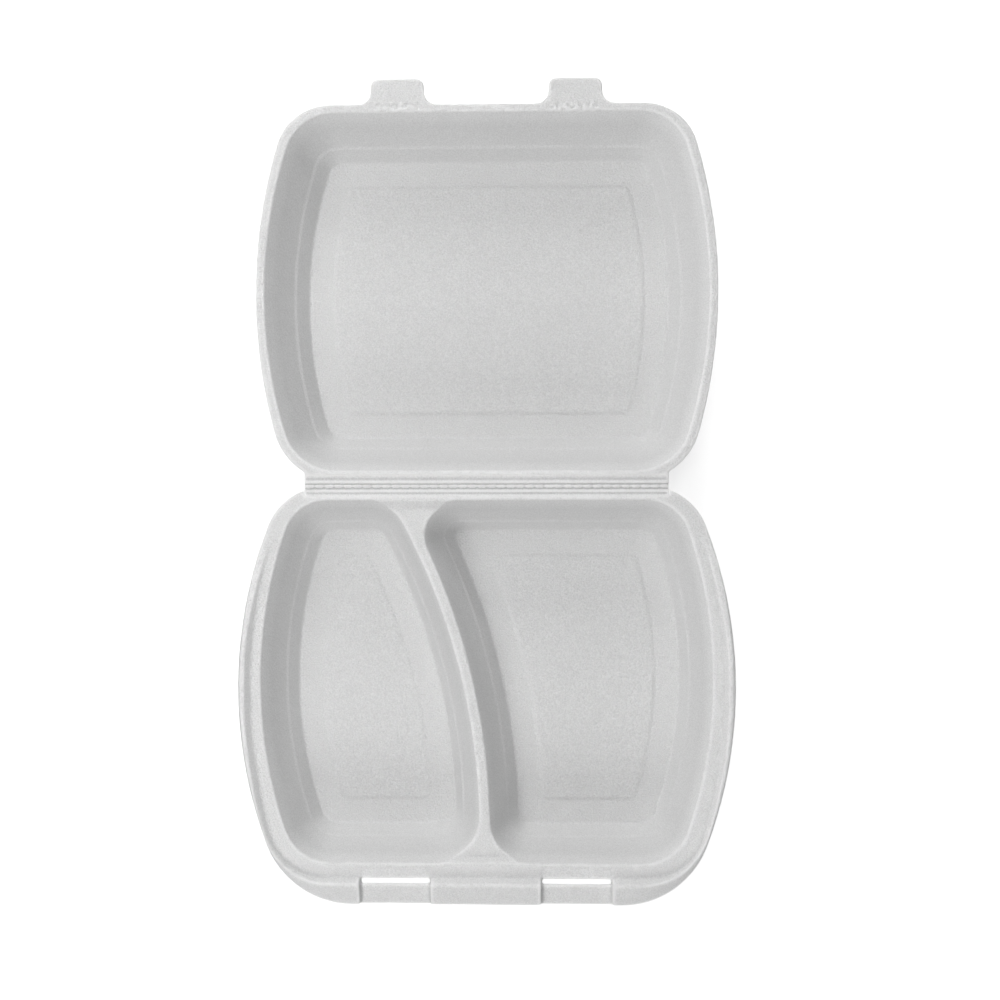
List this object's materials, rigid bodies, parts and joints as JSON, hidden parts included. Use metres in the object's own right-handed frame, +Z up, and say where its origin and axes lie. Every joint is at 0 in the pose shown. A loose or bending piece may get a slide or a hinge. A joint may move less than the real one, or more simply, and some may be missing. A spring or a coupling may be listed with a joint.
{
  "type": "foam clamshell container",
  "caption": "White foam meal box shown open flat: a shallow base with a curved divider, a lid on a thin strip hinge, and closing tabs that tuck into slots in the front rim.",
  "frame": {"origin": "bottom middle of the open box, on the table it lies on", "axes": "+Y from the front rim with the slots over the hinge line to the lid tabs, +Z up out of the compartments, +X to the right with the front rim nearest"},
  "size_m": [0.243, 0.4048, 0.0388],
  "materials": {
    "foam": "white expanded polystyrene foam sheet, satin, fine grain"
  },
  "bodies": {
    "base": {"base_tray": "foam"},
    "lid": {"lid": "foam"},
    "tab_left": {"tab_left": "foam"},
    "tab_right": {"tab_right": "foam"}
  },
  "joints": [
    {"name": "lid_hinge", "type": "hinge", "parent": "base", "child": "lid", "pos_m": [0, 0.0008, 0.035], "axis": [1, 0, 0], "range_deg": [0, 180]},
    {"name": "tab_left_crease", "type": "hinge", "parent": "lid", "child": "tab_left", "pos_m": [-0.044, 0.1917, 0.03485], "axis": [1, 0, 0], "range_deg": [0, 90], "stiffness_Nm_per_rad": 0.0005},
    {"name": "tab_right_crease", "type": "hinge", "parent": "lid", "child": "tab_right", "pos_m": [0.044, 0.1917, 0.03485], "axis": [1, 0, 0], "range_deg": [0, 90], "stiffness_Nm_per_rad": 0.0005}
  ]
}
